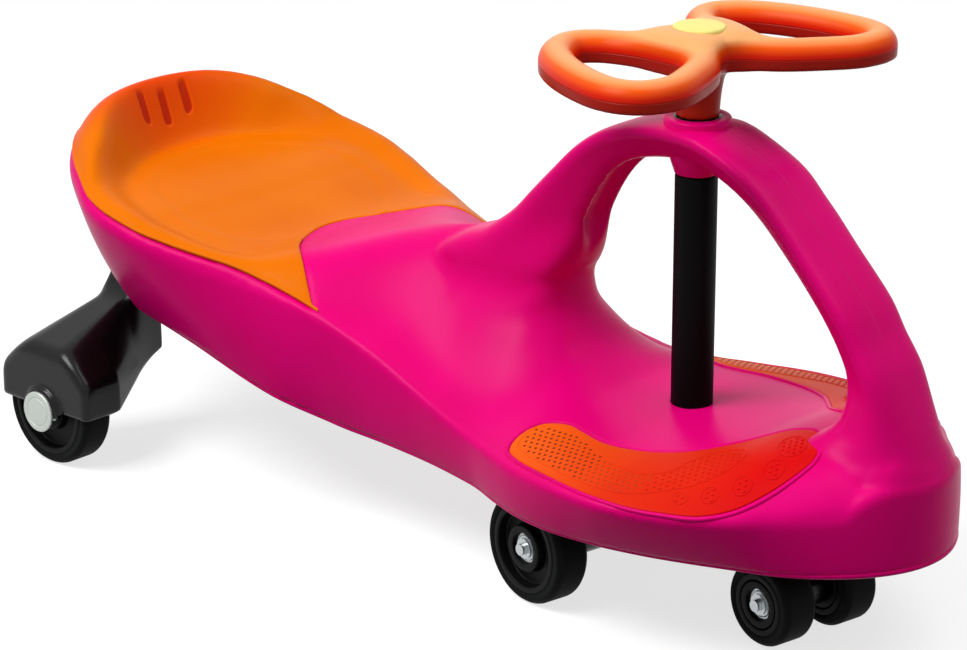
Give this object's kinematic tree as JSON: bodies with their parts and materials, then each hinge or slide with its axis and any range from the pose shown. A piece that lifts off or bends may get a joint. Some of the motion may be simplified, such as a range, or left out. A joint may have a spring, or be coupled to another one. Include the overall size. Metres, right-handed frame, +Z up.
{
  "type": "wiggle car",
  "caption": "Ride-on toy that rolls forward when its butterfly steering wheel is swung from side to side; moulded body with a seat, foot pads and a steering arch, on small wheels.",
  "frame": {"origin": "on the floor under the middle of the body's length, on the centre plane", "axes": "+X forwards along the car, +Y to the rider's left, +Z up"},
  "size_m": [0.76, 0.3336, 0.3911],
  "materials": {
    "magenta_plastic": "satin",
    "orange_plastic": "satin",
    "red_orange_plastic": "satin",
    "wheel_orange_plastic": "satin",
    "pale_yellow_plastic": "satin",
    "black_plastic": "satin",
    "nylon": "matte",
    "tyre_rubber": "matte",
    "satin_cap": "satin",
    "steel": "satin"
  },
  "bodies": {
    "chassis": {"body_shell": "magenta_plastic", "seat_insert": "orange_plastic", "seat_screws": "steel", "foot_pad_left": "red_orange_plastic", "foot_pad_right": "red_orange_plastic", "upper_bush": "black_plastic", "lower_bush": "nylon", "column_sleeve": "black_plastic", "rear_leg_left": "black_plastic", "rear_leg_right": "black_plastic", "leg_screws": "steel", "rear_axle_left": "steel", "rear_axle_right": "steel", "rear_axle_cap_left": "satin_cap", "rear_axle_cap_right": "satin_cap", "rear_axle_nuts": "steel"},
    "steering": {"steering_wheel": "wheel_orange_plastic", "hub_cap": "pale_yellow_plastic", "hub_bolt": "steel", "hub_washer": "steel", "steering_shaft": "steel", "wheel_carrier": "black_plastic", "thrust_washer": "steel", "carrier_washer": "steel", "carrier_nut": "steel", "main_axle": "steel", "main_axle_nuts": "steel", "safety_axle": "steel", "safety_axle_nuts": "steel"},
    "rear_left_wheel": {"rear_left_core": "black_plastic", "rear_left_tyre": "tyre_rubber", "rear_left_bearings": "steel"},
    "rear_right_wheel": {"rear_right_core": "black_plastic", "rear_right_tyre": "tyre_rubber", "rear_right_bearings": "steel"},
    "main_left_wheel": {"main_left_core": "black_plastic", "main_left_tyre": "tyre_rubber", "main_left_bearings": "steel"},
    "main_right_wheel": {"main_right_core": "black_plastic", "main_right_tyre": "tyre_rubber", "main_right_bearings": "steel"},
    "safety_left_wheel": {"safety_left_core": "black_plastic", "safety_left_tyre": "tyre_rubber", "safety_left_bearings": "steel"},
    "safety_right_wheel": {"safety_right_core": "black_plastic", "safety_right_tyre": "tyre_rubber", "safety_right_bearings": "steel"}
  },
  "joints": [
    {"name": "steering_turn", "type": "hinge", "parent": "chassis", "child": "steering", "pos_m": [0.176, 0, 0], "axis": [0, 0, 1], "continuous": true},
    {"name": "rear_left_roll", "type": "hinge", "parent": "chassis", "child": "rear_left_wheel", "pos_m": [-0.307, 0.144, 0.0425], "axis": [0, 1, 0], "continuous": true},
    {"name": "rear_right_roll", "type": "hinge", "parent": "chassis", "child": "rear_right_wheel", "pos_m": [-0.307, -0.144, 0.0425], "axis": [0, 1, 0], "continuous": true},
    {"name": "main_left_roll", "type": "hinge", "parent": "steering", "child": "main_left_wheel", "pos_m": [0.15206, 0.10453, 0.039], "axis": [0.1564, 0.9877, 0], "continuous": true},
    {"name": "main_right_roll", "type": "hinge", "parent": "steering", "child": "main_right_wheel", "pos_m": [0.12093, -0.09202, 0.039], "axis": [0.1564, 0.9877, 0], "continuous": true},
    {"name": "safety_left_roll", "type": "hinge", "parent": "steering", "child": "safety_left_wheel", "pos_m": [0.29282, 0.00883, 0.0325], "axis": [0.1564, 0.9877, 0], "continuous": true},
    {"name": "safety_right_roll", "type": "hinge", "parent": "steering", "child": "safety_right_wheel", "pos_m": [0.28437, -0.0445, 0.0325], "axis": [0.1564, 0.9877, 0], "continuous": true}
  ]
}
